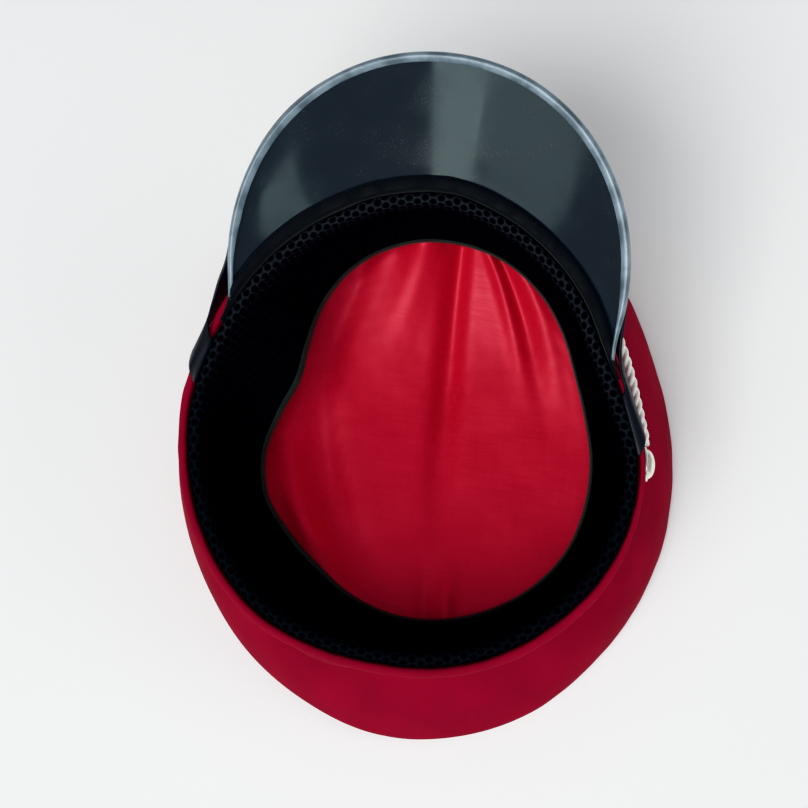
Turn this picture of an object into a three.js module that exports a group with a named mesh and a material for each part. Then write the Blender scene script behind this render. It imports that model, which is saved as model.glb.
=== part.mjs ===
// A peaked military cap lying upside-down on its crown, in millimetres, +Z up.
// Everything is laid out round the opening: a bearing of 0 degrees points at the peak,
// 90 degrees at the right-hand button (+X), and a reach is a distance from the opening's middle.
// Right and left are those of the upturned cap seen from above, so right is on the wearer's left.
// Heights are measured from the opening's plane, so deeper into the hollow is negative.
// The last group tilts that plane so that the crown lies flat on the table at Z = 0.
import * as THREE from 'three';
import { mergeVertices } from 'three/addons/utils/BufferGeometryUtils.js';

const GAP = 0.35;
const CROWN_TILT = THREE.MathUtils.degToRad(8);
const CROWN_DEPTH = 78;
const RING_STEPS = 60;

const BAND_HEIGHT = 36;
const CLOTH = 2;
const HEM_OUT = 3.4;

const SWEAT_WIDTH = 50;
const SWEAT_WALL = 2;
const LINING_WALL = 1;

const PEAK_THICK = 1.8;
const PEAK_SLOPE = THREE.MathUtils.degToRad(42);
const PEAK_RIM = { radius: 78.9, shift: -5.2, forward: 58.9, sweep: 103.5 };
const PEAK_ROOT = { left: -63, right: 61.5, flange: 4.6, height: 4.2 };
const PEAK_SAG = 1;
const TRIM = { wide: 2.4, wall: 0.5 };

const STRAP = { wide: 12, thick: 1.2, under: 3.7 };
const CORD = { radius: 2, height: -17, sides: 6, steps: 62 };
const BUTTON = { radius: 7.2, rim: 1.2, dome: 4.8, bearing: 90 };

const PIPING = { radius: 1.7, height: 2.6 };
const HIND_FOLD = { bearing: -167, spread: 11, out: 2.2 };

// Reaches in mm round the cap, on its right and left side:
// the seam where sweatband meets hem, the foot of the band, the crown's rim, and the sweatband's deep edge
const ROUND = [
  { bearing: 0, seam: [96, 96], foot: [101, 101], rim: [127, 127], edge: [88, 88] },
  { bearing: 15, seam: [92.5, 95.5], foot: [100, 100.5], rim: [126, 126], edge: [86.5, 87] },
  { bearing: 30, seam: [88.5, 93.6], foot: [98.5, 99.5], rim: [123, 124], edge: [82.5, 82.5] },
  { bearing: 45, seam: [85, 92], foot: [95, 97.5], rim: [118, 120], edge: [77, 74.5] },
  { bearing: 60, seam: [82, 90.5], foot: [93, 96], rim: [114.5, 117], edge: [72.5, 64.5] },
  { bearing: 75, seam: [84, 89.5], foot: [91.3, 95], rim: [112.8, 115.8], edge: [72, 59] },
  { bearing: 90, seam: [90, 91.3], foot: [93.6, 95], rim: [113.3, 115.7], edge: [74.5, 62.5] },
  { bearing: 105, seam: [93.2, 92.3], foot: [97, 96.5], rim: [116.5, 116], edge: [77.5, 69.5] },
  { bearing: 120, seam: [95, 94], foot: [99, 98], rim: [120, 117], edge: [80.5, 73] },
  { bearing: 135, seam: [95.4, 95.9], foot: [100, 99.5], rim: [124, 119.5], edge: [81.5, 72] },
  { bearing: 150, seam: [95.8, 96.8], foot: [100.5, 100.5], rim: [129, 123.8], edge: [81.2, 72.5] },
  { bearing: 165, seam: [95.4, 95.3], foot: [100, 100], rim: [131.4, 127.6], edge: [80.5, 76] },
  { bearing: 180, seam: [94.5, 94.5], foot: [99.5, 99.5], rim: [131.5, 131.5], edge: [79, 79] },
];

// The chin strap's two edges from the seam to the peak: bearing from the peak's middle in degrees,
// clear of the band's face in mm, and height in mm. On its right side each edge lies closer, by its tuck.
const STRAP_END = [
  { fore: [75.8, -3.3, 2.9], hind: [88, -3.3, 2.9], tuck: [0, 0] },
  { fore: [74.6, -1.8, 3.3], hind: [85, 0, 2.8], tuck: [0, 0] },
  { fore: [72.8, 0.5, 3.8], hind: [80.5, 2.9, -2.3], tuck: [0.5, 0.3] },
  { fore: [70, 2, 3.2], hind: [75, 3, -7], tuck: [1.4, 0.8] },
  { fore: [67, 3.6, 2.4], hind: [69, 3.2, -9], tuck: [2.2, 1] },
  { fore: [62.5, 5.8, 3.6], hind: [63, 2, -7.4], tuck: [2.6, 0.6] },
  { fore: [57.5, 7.8, 6.6], hind: [57.5, 1.9, -3.9], tuck: [1.4, 0.3] },
];

// How high the satin lies over the crown's top near the wall, round from the peak to the back
const LINING_RISE = [38, 34, 28, 22, 17, 14, 13, 12, 12, 12, 12, 12, 12];
const LINING_FLOOR = 7;
const LINING_FOLD = { pitch: 31, deep: 1.8 };

const radians = THREE.MathUtils.degToRad;
const { lerp, clamp } = THREE.MathUtils;

// A smooth value round the whole cap, from a table's right and left values
function around(values) {
  const right = values.map(([value]) => value);
  const left = values.slice(1, -1).map(([, value]) => value).reverse();
  const ring = [...right, ...left];
  return (bearing) => {
    const place = (((bearing % 360) + 360) % 360) / 360 * ring.length;
    const i = Math.floor(place);
    const t = place - i;
    const [a, b, c, d] = [-1, 0, 1, 2].map((step) => ring[(i + step + ring.length) % ring.length]);
    return b + 0.5 * t * (c - a + t * (2 * a - 5 * b + 4 * c - d + t * (3 * (b - c) + d - a)));
  };
}

const seam = around(ROUND.map((row) => row.seam));
const foot = around(ROUND.map((row) => row.foot));
const rim = around(ROUND.map((row) => row.rim));
const edge = around(ROUND.map((row) => row.edge));
const liningRise = around(LINING_RISE.map((rise) => [rise, rise]));

// The height of a point that lies `above` the table, at a bearing and reach
function overTable(bearing, reach, above) {
  const forward = reach * Math.cos(radians(bearing));
  return above / Math.cos(CROWN_TILT) - CROWN_DEPTH - forward * Math.tan(CROWN_TILT);
}

// The reach of the band's outer face at a height
function bandFace(bearing, height) {
  const hem = seam(bearing) + HEM_OUT;
  return lerp(hem, foot(bearing), clamp(-height / BAND_HEIGHT, 0, 1));
}

const point = (reach, height) => new THREE.Vector2(reach, height);

function inSpace(bearing, flat) {
  const angle = radians(bearing);
  return new THREE.Vector3(flat.x * Math.sin(angle), flat.x * Math.cos(angle), flat.y);
}

// A wall's section: one face's chain of points and the same chain moved sideways by the thickness
function wall(chain, thickness) {
  const other = chain.map((p, i) => {
    const before = chain[Math.max(i - 1, 0)];
    const after = chain[Math.min(i + 1, chain.length - 1)];
    const along = after.clone().sub(before).normalize();
    const onAxis = p.x === 0;
    return onAxis ? point(0, p.y - thickness) : point(p.x + along.y * thickness, p.y - along.x * thickness);
  });
  return [...chain, ...other.reverse()];
}

function endCap(loop, first) {
  const normal = new THREE.Vector3();
  loop.forEach((p, i) => normal.add(p.clone().cross(loop[(i + 1) % loop.length])));
  normal.normalize();
  const across = loop[1].clone().sub(loop[0]).normalize();
  const up = normal.clone().cross(across);
  const flat = loop.map((p) => point(p.dot(across), p.dot(up)));
  return THREE.ShapeUtils.triangulateShape(flat, []).map((corners) => {
    const [a, b, c] = corners.map((i) => flat[i]);
    const turn = (b.x - a.x) * (c.y - a.y) - (b.y - a.y) * (c.x - a.x);
    const face = corners.map((i) => first + i);
    return turn > 0 ? face : face.reverse();
  });
}

function volume(points, faces) {
  return faces.reduce((sum, [a, b, c]) => sum + points[a].dot(points[b].clone().cross(points[c])), 0);
}

// A closed body over a row of sections, each a loop of equally many points.
// A joined row runs on from its last section to its first; any other is capped at both ends.
function skin(sections, joined) {
  const count = sections[0].length;
  const points = sections.flat();
  const faces = [];
  const rows = joined ? sections.length : sections.length - 1;
  for (let i = 0; i < rows; i++) {
    const here = i * count;
    const next = ((i + 1) % sections.length) * count;
    for (let k = 0; k < count; k++) {
      const m = (k + 1) % count;
      faces.push([here + k, here + m, next + m], [here + k, next + m, next + k]);
    }
  }
  if (!joined) {
    faces.push(...endCap(sections[0], 0).map((face) => face.reverse()));
    faces.push(...endCap(sections.at(-1), points.length - count));
  }
  if (volume(points, faces) < 0) faces.forEach((face) => face.reverse());
  return solid(points, faces);
}

// Points that fall together, as on the axis, become one, and the flat faces between them go
function solid(points, faces) {
  const loose = new THREE.BufferGeometry().setFromPoints(points);
  loose.setIndex(faces.flat());
  const merged = mergeVertices(loose, 1e-3);
  const index = merged.getIndex().array;
  const kept = [];
  for (let i = 0; i < index.length; i += 3) {
    const [a, b, c] = index.slice(i, i + 3);
    if (a !== b && b !== c && c !== a) kept.push(a, b, c);
  }
  merged.setIndex(kept);
  merged.computeVertexNormals();
  return merged;
}

// A ring or bowl: the section at each bearing is a loop of (reach, height) points
function ring(sectionAt) {
  const bearings = Array.from({ length: RING_STEPS }, (_, i) => i * 360 / RING_STEPS);
  return skin(bearings.map((bearing) => sectionAt(bearing).map((p) => inSpace(bearing, p))), true);
}

function crownTop() {
  return ring((bearing) => {
    const end = rim(bearing) - 2 * PIPING.radius - GAP;
    const at = (reach, above) => point(reach, overTable(bearing, reach, above));
    return [at(0, CLOTH), at(end - 5, CLOTH), at(end, CLOTH + 0.6), at(end, 0.6), at(end - 5, 0), at(0, 0)];
  });
}

function crownPiping() {
  const sides = 6;
  return ring((bearing) => {
    const middle = rim(bearing) - PIPING.radius;
    return Array.from({ length: sides }, (_, i) => {
      const turn = (i / sides) * 2 * Math.PI;
      const reach = middle + PIPING.radius * Math.cos(turn);
      return point(reach, overTable(bearing, reach, PIPING.height + PIPING.radius * Math.sin(turn)));
    });
  });
}

// The side panel runs from the band's foot to the piping, bellied a little outward
function crownSide() {
  const steps = 4;
  const belly = 3.2;
  return ring((bearing) => {
    const low = PIPING.height + PIPING.radius + GAP + CLOTH / 2;
    const start = point(foot(bearing), -BAND_HEIGHT - GAP);
    const end = point(rim(bearing) - 0.6, overTable(bearing, rim(bearing), low));
    const along = end.clone().sub(start).normalize();
    const chain = Array.from({ length: steps + 1 }, (_, i) => {
      const t = i / steps;
      const out = belly * Math.sin(Math.PI * t) * (0.6 + 0.4 * t);
      return start.clone().lerp(end, t).add(point(-along.y * out, along.x * out));
    });
    return wall(chain, CLOTH);
  });
}

// The band stands on the crown's side, and its cloth rolls over at the opening as a hem
function band() {
  return ring((bearing) => {
    const inner = seam(bearing);
    const away = Math.abs(((bearing - HIND_FOLD.bearing + 540) % 360) - 180);
    const fold = HIND_FOLD.out * Math.exp(-((away / HIND_FOLD.spread) ** 2));
    const face = (height) => bandFace(bearing, height);
    return [
      point(inner + 0.5, 0.4), point(inner + 1.3, 1.4), point(inner + 2.6, 1.5), point(inner + 3.7, 0.6),
      point(inner + 4.1, -0.9), point(inner + 3.8, -2.4), point(face(-3.6), -3.6),
      point(face(-7) + fold, -7), point(face(-18), -18), point(face(-BAND_HEIGHT), -BAND_HEIGHT),
      point(face(-BAND_HEIGHT) - CLOTH, -BAND_HEIGHT), point(face(-18) - CLOTH - 0.4, -18),
      point(inner + 0.6, -3),
    ];
  });
}

// The inner face of the sweatband's wall: t runs from under its roll to its deep edge, its own width away
function sweatWall(bearing) {
  const bow = 1.5;
  const reach = edge(bearing);
  const lean = seam(bearing) - 4 - reach;
  const end = point(reach, 2 - Math.sqrt(SWEAT_WIDTH ** 2 - lean ** 2));
  const top = point(seam(bearing) - 6, -3);
  return [0, 0.35, 0.7, 1].map((t) => top.clone().lerp(end, t).add(point(bow * Math.sin(Math.PI * t), 0)));
}

// A thick soft roll along the seam, and a wall that leans into the hollow
function sweatband() {
  return ring((bearing) => {
    const s = seam(bearing);
    return [
      point(s - 0.3, 0.2), point(s - 0.9, 2.4), point(s - 2.4, 4.1), point(s - 4.4, 3.9), point(s - 5.8, 1.8),
      ...wall(sweatWall(bearing), -SWEAT_WALL).slice(0, -1),
      point(s - 2, -5), point(s - 0.7, -2.4),
    ];
  });
}

// A folded tape over an edge: `end` is the edge, `back` points from it into the wall
function foldedTape(end, back, halfInside, { wide, wall: tape }) {
  const side = point(-back.y, back.x);
  const at = (along, across) => end.clone().addScaledVector(back, along).addScaledVector(side, across);
  const outer = halfInside + tape;
  return [
    at(-GAP - tape, outer), at(-GAP - tape, -outer), at(wide, -outer), at(wide, -halfInside),
    at(-GAP, -halfInside), at(-GAP, halfInside), at(wide, halfInside), at(wide, outer),
  ];
}

function sweatbandBinding() {
  return ring((bearing) => {
    const [, , above, end] = sweatWall(bearing);
    const back = above.sub(end).normalize();
    const middle = end.add(point(back.y, -back.x).multiplyScalar(SWEAT_WALL / 2));
    return foldedTape(middle, back, SWEAT_WALL / 2 + GAP, { wide: 3, wall: 0.6 });
  });
}

// The satin hangs from behind the sweatband, meets the crown's floor and lies there in long folds
function lining() {
  return ring((bearing) => {
    const reach = edge(bearing);
    const rise = liningRise(bearing);
    const floor = (at, share, folds) => {
      const across = at * Math.sin(radians(bearing));
      const fold = LINING_FOLD.deep * Math.cos(across / LINING_FOLD.pitch * 2 * Math.PI) * folds;
      return point(at, overTable(bearing, at, lerp(LINING_FLOOR, rise, share) + fold));
    };
    const inBand = bandFace(bearing, -30) - CLOTH - 1.6;
    const chain = [
      point(seam(bearing) - 1.8, -9), point(inBand, -30), floor(foot(bearing) - 8, 1, 0),
      floor(reach - 2, 0.85, 0.6), floor(0.74 * reach, 0.45, 1), floor(0.46 * reach, 0.14, 1),
      floor(0.2 * reach, 0, 1), point(0, overTable(0, 0, LINING_FLOOR + LINING_FOLD.deep)),
    ];
    return wall(chain.reverse(), LINING_WALL);
  });
}

// The peak at s, from -1 at its left end to 1 at its right: where it bends up out of its flange,
// its rim, the way from one to the other, and the normal of its upper face
function peakAt(s) {
  const bearing = lerp(PEAK_ROOT.left, PEAK_ROOT.right, (s + 1) / 2);
  const turn = radians(s * PEAK_RIM.sweep);
  const flange = lerp(1.8, PEAK_ROOT.flange, Math.sqrt(1 - s ** 4));
  const bend = inSpace(bearing, point(seam(bearing) + flange, PEAK_ROOT.height));
  const rimPoint = new THREE.Vector3(
    PEAK_RIM.shift + PEAK_RIM.radius * Math.sin(turn), PEAK_RIM.forward + PEAK_RIM.radius * Math.cos(turn), 0);
  const level = rimPoint.clone().setZ(bend.z).distanceTo(bend);
  rimPoint.z = bend.z + level * Math.tan(PEAK_SLOPE);
  const out = rimPoint.clone().sub(bend).normalize();
  const side = new THREE.Vector3(-out.y, out.x, 0).normalize();
  const normal = out.clone().cross(side).normalize();
  return { bearing, flange, bend, rim: rimPoint, out, normal };
}

const spread = (count, reach = 1) => Array.from({ length: count + 1 }, (_, i) => reach * (2 * i / count - 1));
const PEAK_STEPS = 40;

function peak() {
  const sections = spread(PEAK_STEPS).map((s) => {
    const { bearing, bend, rim: end, normal } = peakAt(s);
    const root = inSpace(bearing, point(seam(bearing) + 0.9, PEAK_ROOT.height - 0.5));
    const between = [1 / 3, 2 / 3].map((t) => {
      const sag = PEAK_SAG * Math.sin(Math.PI * t) * (1 - s ** 4);
      return bend.clone().lerp(end, t).addScaledVector(normal, -sag);
    });
    const upper = [bend, ...between, end];
    const lower = upper.map((p) => p.clone().addScaledVector(normal, -PEAK_THICK));
    return [root, ...upper, ...lower.reverse(), root.clone().setZ(root.z - PEAK_THICK)];
  });
  return skin(sections, false);
}

function peakTrim() {
  const half = PEAK_THICK / 2;
  const sections = spread(PEAK_STEPS).map((s) => {
    const { rim: end, out, normal } = peakAt(s);
    const middle = end.clone().addScaledVector(normal, -half);
    const flat = foldedTape(point(0, 0), point(-1, 0), half + GAP, TRIM);
    return flat.map((p) => middle.clone().addScaledVector(out, p.x).addScaledVector(normal, p.y));
  });
  return skin(sections, false);
}

function peakWelt() {
  const sections = spread(40, 0.99).map((s) => {
    const { bearing, flange } = peakAt(s);
    const inner = seam(bearing);
    const low = PEAK_ROOT.height + GAP;
    const loop = [
      point(inner - 0.4, low), point(inner + flange, low), point(inner + flange + 0.3, low + 1),
      point(inner + flange / 2, low + 1.7), point(inner - 0.2, low + 1.2),
    ];
    return loop.map((p) => inSpace(bearing, p));
  });
  return skin(sections, false);
}

// The strap lies under the peak's rim; at each end it twists on edge, turns over the hem and goes into the seam
function chinStrap() {
  const onSide = (side) => STRAP_END.map(({ fore, hind, tuck }) => [fore, hind].map(([bearing, clear, height], i) => {
    const reach = bandFace(side * bearing, height) + clear - (side > 0 ? tuck[i] : 0);
    return inSpace(side * bearing, point(reach, height));
  }));
  const underPeak = spread(16, 0.78).map((s) => {
    const { rim: end, out, normal } = peakAt(s);
    const peep = lerp(-0.8, 0.5, Math.exp(-(((s + 0.5) / 0.28) ** 2)));
    const fore = end.clone().addScaledVector(out, peep).addScaledVector(normal, -STRAP.under);
    return [fore, fore.clone().addScaledVector(out, -STRAP.wide)];
  });
  const stations = [...onSide(-1), ...underPeak, ...onSide(1).reverse()];
  const [fore, hind] = [0, 1].map((i) => new THREE.CatmullRomCurve3(stations.map((pair) => pair[i])));
  const steps = (stations.length - 1) * 2;
  const sections = Array.from({ length: steps + 1 }, (_, i) => {
    const [a, b] = [fore.getPoint(i / steps), hind.getPoint(i / steps)];
    const along = fore.getTangent(i / steps).add(hind.getTangent(i / steps));
    const normal = along.cross(b.clone().sub(a)).normalize().multiplyScalar(STRAP.thick / 2);
    return [a.clone().add(normal), b.clone().add(normal), b.clone().sub(normal), a.clone().sub(normal)];
  });
  return skin(sections, false);
}

function cord() {
  const buttonHalf = THREE.MathUtils.radToDeg((BUTTON.radius + GAP) / bandFace(BUTTON.bearing, CORD.height));
  const sections = spread(CORD.steps, BUTTON.bearing - buttonHalf).map((bearing) => {
    const middle = point(bandFace(bearing, CORD.height) + GAP + CORD.radius + 0.2, CORD.height);
    return Array.from({ length: CORD.sides }, (_, i) => {
      const turn = ((i + 0.5) / CORD.sides) * 2 * Math.PI;
      const offset = point(Math.cos(turn), Math.sin(turn)).multiplyScalar(CORD.radius);
      return inSpace(bearing, middle.clone().add(offset));
    });
  });
  return skin(sections, false);
}

// A dome on a narrow rim, turned about Z with its flat back at 0
function button() {
  const { radius, rim: brim, dome } = BUTTON;
  const profile = [point(0, 0), point(radius, 0), point(radius, brim), point(radius - 0.8, brim + 0.5)];
  for (const share of [0.75, 0.5, 0.25]) {
    profile.push(point(radius * share, lerp(brim + 0.5, dome, Math.sqrt(1 - share ** 2))));
  }
  profile.push(point(0, dome));
  const turned = new THREE.LatheGeometry(profile, 20);
  turned.rotateX(Math.PI / 2);
  turned.deleteAttribute('uv');
  turned.deleteAttribute('normal');
  const closed = mergeVertices(turned, 1e-4);
  const position = closed.getAttribute('position');
  const points = Array.from({ length: position.count }, (_, i) => new THREE.Vector3().fromBufferAttribute(position, i));
  const index = [...closed.getIndex().array];
  const faces = Array.from({ length: index.length / 3 }, (_, i) => index.slice(3 * i, 3 * i + 3));
  if (volume(points, faces) < 0) faces.forEach((face) => face.reverse());
  return solid(points, faces);
}

// A button sits flat on the band's face, wherever that leans
function buttonMesh(name, side) {
  const mesh = piece(name, button(), FINISH.whiteMetal);
  const onBand = (bearing, height) => inSpace(side * bearing, point(bandFace(side * bearing, height), height));
  const { bearing, radius } = BUTTON;
  const reach = THREE.MathUtils.radToDeg(radius / bandFace(side * bearing, CORD.height));
  const across = onBand(bearing + reach, CORD.height).sub(onBand(bearing - reach, CORD.height));
  const down = onBand(bearing, CORD.height - radius).sub(onBand(bearing, CORD.height + radius));
  const outward = across.cross(down).multiplyScalar(side).normalize();
  mesh.position.copy(onBand(bearing, CORD.height)).addScaledVector(outward, 2 * GAP);
  mesh.quaternion.setFromUnitVectors(new THREE.Vector3(0, 0, 1), outward);
  return mesh;
}

const FINISH = {
  redCloth: { color: '#7c1020', roughness: 0.85, metalness: 0 },
  redPiping: { color: '#8f1526', roughness: 0.8, metalness: 0 },
  redSatin: { color: '#b01328', roughness: 0.35, metalness: 0 },
  blackMesh: { color: '#101113', roughness: 0.9, metalness: 0 },
  blackTape: { color: '#0c0d11', roughness: 0.7, metalness: 0 },
  greyTape: { color: '#22262a', roughness: 0.75, metalness: 0 },
  glossPvc: { color: '#1a2026', roughness: 0.15, metalness: 0 },
  silverTrim: { color: '#a9b4be', roughness: 0.35, metalness: 0.3 },
  blackStrap: { color: '#12131a', roughness: 0.4, metalness: 0 },
  whiteCord: { color: '#f1ece0', roughness: 0.8, metalness: 0 },
  whiteMetal: { color: '#e9e6de', roughness: 0.25, metalness: 0.8 },
};

function piece(name, geometry, finish) {
  const mesh = new THREE.Mesh(geometry, new THREE.MeshStandardMaterial(finish));
  mesh.name = name;
  return mesh;
}

const upturned = new THREE.Group();
upturned.rotation.x = CROWN_TILT;
upturned.position.z = CROWN_DEPTH * Math.cos(CROWN_TILT);
upturned.add(
  piece('crown_top', crownTop(), FINISH.redCloth),
  piece('crown_side', crownSide(), FINISH.redCloth),
  piece('crown_piping', crownPiping(), FINISH.redPiping),
  piece('band', band(), FINISH.redCloth),
  piece('sweatband', sweatband(), FINISH.blackMesh),
  piece('sweatband_binding', sweatbandBinding(), FINISH.greyTape),
  piece('lining', lining(), FINISH.redSatin),
  piece('peak', peak(), FINISH.glossPvc),
  piece('peak_trim', peakTrim(), FINISH.silverTrim),
  piece('peak_welt', peakWelt(), FINISH.blackTape),
  piece('chin_strap', chinStrap(), FINISH.blackStrap),
  piece('cord', cord(), FINISH.whiteCord),
  buttonMesh('side_button_right', 1),
  buttonMesh('side_button_left', -1),
);

const cap = new THREE.Group();
cap.add(upturned);

export default cap;
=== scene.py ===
# A peaked military cap lying upside-down on its crown: every visible surface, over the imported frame.
# Lengths are millimetres and angles degrees until a mesh, a light or the camera is made.
# Pieces are drawn round the opening: bearing 0 points at the peak and 90 at the right-hand button (+X),
# a reach is a distance from the opening's middle, and a height is measured from the opening's plane.
import math
from functools import partial

import bmesh
import bpy
import numpy as np
from mathutils import Matrix, Vector


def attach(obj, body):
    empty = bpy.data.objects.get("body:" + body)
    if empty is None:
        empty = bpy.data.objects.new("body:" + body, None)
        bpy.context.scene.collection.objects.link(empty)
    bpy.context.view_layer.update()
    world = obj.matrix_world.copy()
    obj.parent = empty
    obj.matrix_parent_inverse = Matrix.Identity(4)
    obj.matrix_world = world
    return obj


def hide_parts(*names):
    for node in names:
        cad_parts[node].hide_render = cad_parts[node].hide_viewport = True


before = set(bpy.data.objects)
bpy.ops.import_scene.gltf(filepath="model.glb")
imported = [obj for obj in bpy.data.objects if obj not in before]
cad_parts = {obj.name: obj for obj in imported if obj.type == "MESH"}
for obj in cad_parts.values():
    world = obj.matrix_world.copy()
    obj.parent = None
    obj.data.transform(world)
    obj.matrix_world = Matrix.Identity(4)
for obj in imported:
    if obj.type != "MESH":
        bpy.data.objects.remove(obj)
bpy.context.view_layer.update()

MM = 0.001
UP = np.array([0, 0, 1])

# The cap's driving sizes. GAP keeps pieces clear of each other.
GAP = 0.35
CROWN_TILT = 8
CROWN_DEPTH = 78
BAND_HEIGHT = 36
CLOTH = 2
SWEAT_WIDTH = 50
SWEAT_WALL = 2
LINING_WALL = 1
PEAK = {"thick": 1.8, "slope": 42, "sag": 1}
PEAK_RIM = {"radius": 78.9, "shift": -4.4, "forward": 58.9, "sweep": 103.5}
PEAK_ROOT = {"left": -63, "right": 61.5, "flange": 3.4, "flange_end": 1.8, "height": 4.2}
TRIM = {"wide": 2.4, "wall": 0.5}
STRAP = {"wide": 12, "thick": 1.2, "under": 3.7}
CORD = {"radius": 2, "height": -17, "strands": 3, "pitch": 13}
BUTTON = {"radius": 7.2, "rim": 1.2, "dome": 4.8, "bearing": 90}
PIPING = {"radius": 1.7, "height": 2.6}
HIND_FOLD = {"bearing": -167, "spread": 11, "out": 2.2}
HEM_OUT = 3.4

# Reaches every 15 degrees from the peak to the back, on the cap's right side and on its left:
# the seam where sweatband meets hem, the foot of the band, the crown's rim, the sweatband's deep edge,
# and how far the hem stands out from the seam: HEM_OUT, or less where the strap pulls it in
ROUND = {
    "seam": {
        "right": [96, 92.5, 88.5, 85, 82, 84, 90, 93.2, 95, 95.4, 95.8, 95.4, 94.5],
        "left": [96, 95.5, 93.6, 92, 90.5, 89.5, 91.3, 92.3, 94, 95.9, 96.8, 95.3, 94.5],
    },
    "foot": {
        "right": [101, 100, 98.5, 95, 93, 91.3, 93.6, 97, 99, 100, 100.5, 100, 99.5],
        "left": [101, 100.5, 99.5, 97.5, 96, 95, 95, 96.5, 98, 99.5, 100.5, 100, 99.5],
    },
    "rim": {
        "right": [127, 126, 123, 117, 112, 111.5, 113.3, 116.5, 120, 124, 129, 131.4, 131.5],
        "left": [127, 126, 124, 120, 117, 115.8, 115.7, 116, 117, 119.5, 123.8, 127.6, 131.5],
    },
    "edge": {
        "right": [88, 86.5, 82.5, 77, 72.5, 72, 74.5, 77.5, 80.5, 81.5, 81.2, 80.5, 79],
        "left": [88, 87, 82.5, 74.5, 64.5, 59, 62.5, 69.5, 73, 72, 72.5, 76, 79],
    },
    "hem_out": {
        "right": [HEM_OUT] * 3 + [2.8, 2.2, 1.9, 1.9, 2.3, 3] + [HEM_OUT] * 4,
        "left": [HEM_OUT] * 13,
    },
}

# How high the satin lies over the crown's top near the wall, every 15 degrees from the peak to the back
LINING_RISE = [38, 34, 28, 22, 17, 14, 13, 12, 12, 12, 12, 12, 12]
LINING_FLOOR = 7

# The satin's soft folds, on the plan seen from above: x and y at the start, middle and end, the height,
# how wide the fold is, and the shares of its length in which it begins and dies away
LINING_FOLDS = [
    {"start": (-13, 92), "middle": (-18, 62), "end": (-37, 2), "rise": 5, "wide": 11, "fades": (0, 0.5)},
    {"start": (3, 94), "middle": (6, 20), "end": (17, -86), "rise": -4.6, "wide": 6.5, "fades": (0, 0.5)},
    {"start": (12, 93), "middle": (30, 61), "end": (48, 8), "rise": 2.8, "wide": 3.6, "fades": (0, 0.6)},
    {"start": (15, 92), "middle": (36, 60), "end": (57, -2), "rise": -2.8, "wide": 3.8, "fades": (0, 0.6)},
    {"start": (19, 92), "middle": (46, 58), "end": (62, 0), "rise": 2.2, "wide": 4, "fades": (0, 0.6)},
    {"start": (-38, 84), "middle": (-51, 40), "end": (-56, -6), "rise": -4.6, "wide": 10, "fades": (0, 0.5)},
    {"start": (-50, 40), "middle": (-44, -20), "end": (-6, -82), "rise": -5, "wide": 9, "fades": (0.6, 0.3)},
    {"start": (-66, 6), "middle": (-48, -42), "end": (-12, -86), "rise": 4.6, "wide": 7, "fades": (0.5, 0.2)},
    {"start": (-5, 96), "middle": (-4, 89), "end": (-4, 80), "rise": -2.4, "wide": 2, "fades": (0, 0.8)},
    {"start": (7, 96), "middle": (9, 89), "end": (12, 80), "rise": 2, "wide": 2, "fades": (0, 0.8)},
    {"start": (15, -90), "middle": (11, -70), "end": (8, -46), "rise": -2.6, "wide": 4, "fades": (0, 0.8)},
    {"start": (25, -88), "middle": (21, -66), "end": (20, -38), "rise": 2.6, "wide": 4, "fades": (0, 0.8)},
]

# The chin strap's two edges from the seam to the peak on each side of the cap: bearing from the peak's
# middle, clear of the band's face, and height
STRAP_END = {
    "right": [
        {"fore": (73, -2.6, 1.4), "hind": (89, -2.6, 1.4)},
        {"fore": (73, -1.9, 2.9), "hind": (89, -1.9, 2.9)},
        {"fore": (72, -0.9, 3.1), "hind": (86, 1, 2.4)},
        {"fore": (70, 0, 3.2), "hind": (82, 1.9, -2.3)},
        {"fore": (67.2, 0.3, 3), "hind": (76.5, 1.6, -7)},
        {"fore": (64.5, 1, 2.9), "hind": (70.5, 1.3, -9)},
        {"fore": (61, 3, 3.6), "hind": (64, 1.1, -7.6)},
        {"fore": (57.5, 5.8, 6), "hind": (58, 1.6, -3.9)},
    ],
    "left": [
        {"fore": (75.8, -3.8, 1.3), "hind": (88, -3.8, 1.3)},
        {"fore": (75.8, -3.5, 2.9), "hind": (88, -3.5, 2.9)},
        {"fore": (74.6, -1.8, 3.3), "hind": (85, 0, 2.8)},
        {"fore": (72.8, 0.5, 3.8), "hind": (80.5, 2.9, -2.3)},
        {"fore": (70, 2, 3.2), "hind": (75, 3, -7)},
        {"fore": (67, 3.6, 2.4), "hind": (69, 3.2, -9)},
        {"fore": (62.5, 5.8, 3.6), "hind": (63, 2, -7.4)},
        {"fore": (57.5, 7.8, 6.6), "hind": (57.5, 1.9, -3.9)},
    ],
}


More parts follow.
